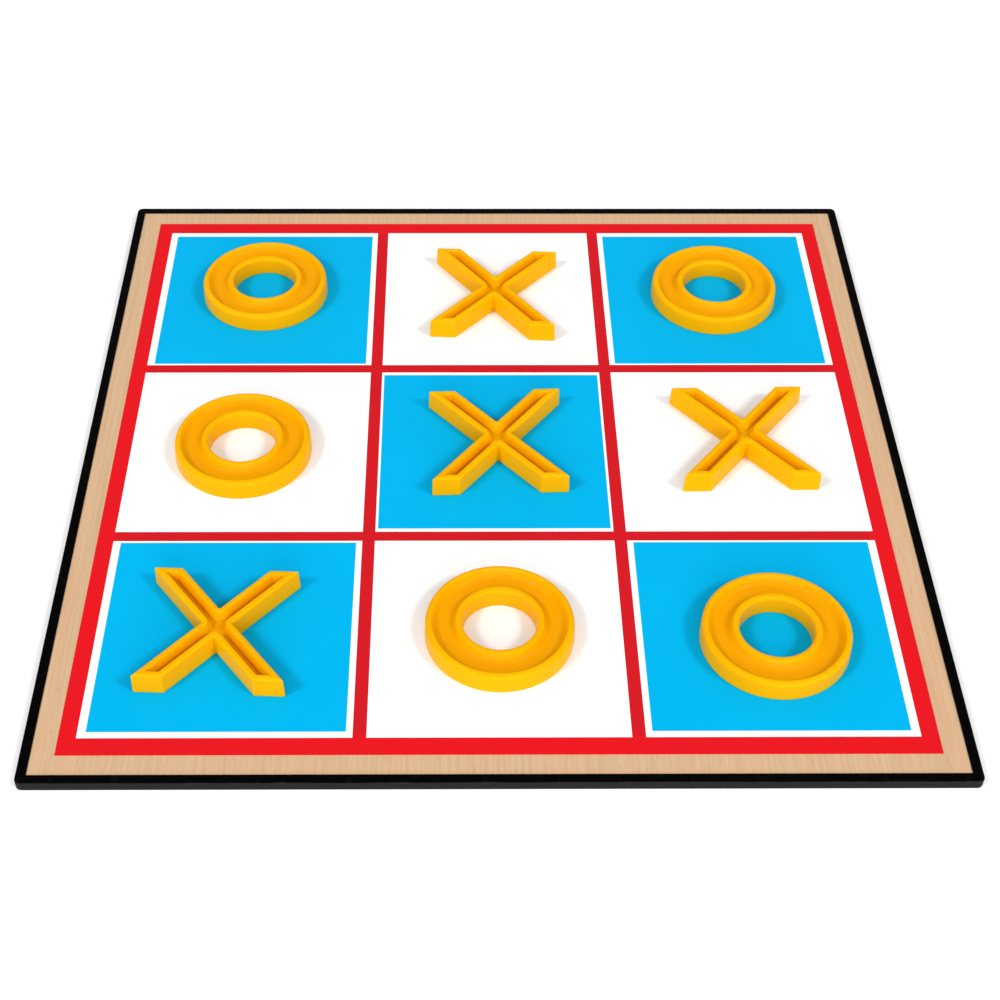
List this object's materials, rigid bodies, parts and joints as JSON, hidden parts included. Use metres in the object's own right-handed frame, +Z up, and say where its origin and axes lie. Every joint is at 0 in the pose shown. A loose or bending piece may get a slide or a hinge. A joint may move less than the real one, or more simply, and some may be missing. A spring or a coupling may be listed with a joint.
{
  "type": "tic tac toe set",
  "caption": "Flat square board with a black edge trim, wood-grain border and printed red, white and blue grid, and yellow moulded O and X counters on its cells.",
  "frame": {"origin": "centre of the board's underside, on the surface it rests on", "axes": "+Z up out of the play surface, -Y towards the front player, +X to that player's right"},
  "size_m": [0.305, 0.305, 0.0118],
  "materials": {
    "mdf": "raw pressed fibre",
    "wood_laminate": "satin wood-grain laminate",
    "backing_laminate": "matt plain laminate",
    "red_print": "satin printed ink",
    "white_print": "satin printed ink",
    "blue_print": "satin printed ink",
    "black_trim": "satin extruded plastic",
    "yellow_plastic": "glossy moulded plastic"
  },
  "bodies": {
    "board": {"mdf_core": "mdf", "wood_grain_laminate": "wood_laminate", "backing_laminate": "backing_laminate", "red_grid_print": "red_print", "white_cell_prints": "white_print", "blue_square_prints": "blue_print", "edge_trim_front": "black_trim", "edge_trim_right": "black_trim", "edge_trim_back": "black_trim", "edge_trim_left": "black_trim"},
    "o_token_back_left": {"o_token_back_left": "yellow_plastic"},
    "o_token_back_right": {"o_token_back_right": "yellow_plastic"},
    "o_token_middle_left": {"o_token_middle_left": "yellow_plastic"},
    "o_token_front_center": {"o_token_front_center": "yellow_plastic"},
    "o_token_front_right": {"o_token_front_right": "yellow_plastic"},
    "x_token_back_center": {"x_token_back_center": "yellow_plastic"},
    "x_token_center": {"x_token_center": "yellow_plastic"},
    "x_token_middle_right": {"x_token_middle_right": "yellow_plastic"},
    "x_token_front_left": {"x_token_front_left": "yellow_plastic"}
  },
  "joints": [
    {"name": "o_token_back_left_lift", "type": "slide", "parent": "board", "child": "o_token_back_left", "axis": [0, 0, 1], "range_m": [0, 0.04]},
    {"name": "o_token_back_right_lift", "type": "slide", "parent": "board", "child": "o_token_back_right", "axis": [0, 0, 1], "range_m": [0, 0.04]},
    {"name": "o_token_middle_left_lift", "type": "slide", "parent": "board", "child": "o_token_middle_left", "axis": [0, 0, 1], "range_m": [0, 0.04]},
    {"name": "o_token_front_center_lift", "type": "slide", "parent": "board", "child": "o_token_front_center", "axis": [0, 0, 1], "range_m": [0, 0.04]},
    {"name": "o_token_front_right_lift", "type": "slide", "parent": "board", "child": "o_token_front_right", "axis": [0, 0, 1], "range_m": [0, 0.04]},
    {"name": "x_token_back_center_lift", "type": "slide", "parent": "board", "child": "x_token_back_center", "axis": [0, 0, 1], "range_m": [0, 0.04]},
    {"name": "x_token_center_lift", "type": "slide", "parent": "board", "child": "x_token_center", "axis": [0, 0, 1], "range_m": [0, 0.04]},
    {"name": "x_token_middle_right_lift", "type": "slide", "parent": "board", "child": "x_token_middle_right", "axis": [0, 0, 1], "range_m": [0, 0.04]},
    {"name": "x_token_front_left_lift", "type": "slide", "parent": "board", "child": "x_token_front_left", "axis": [0, 0, 1], "range_m": [0, 0.04]}
  ]
}
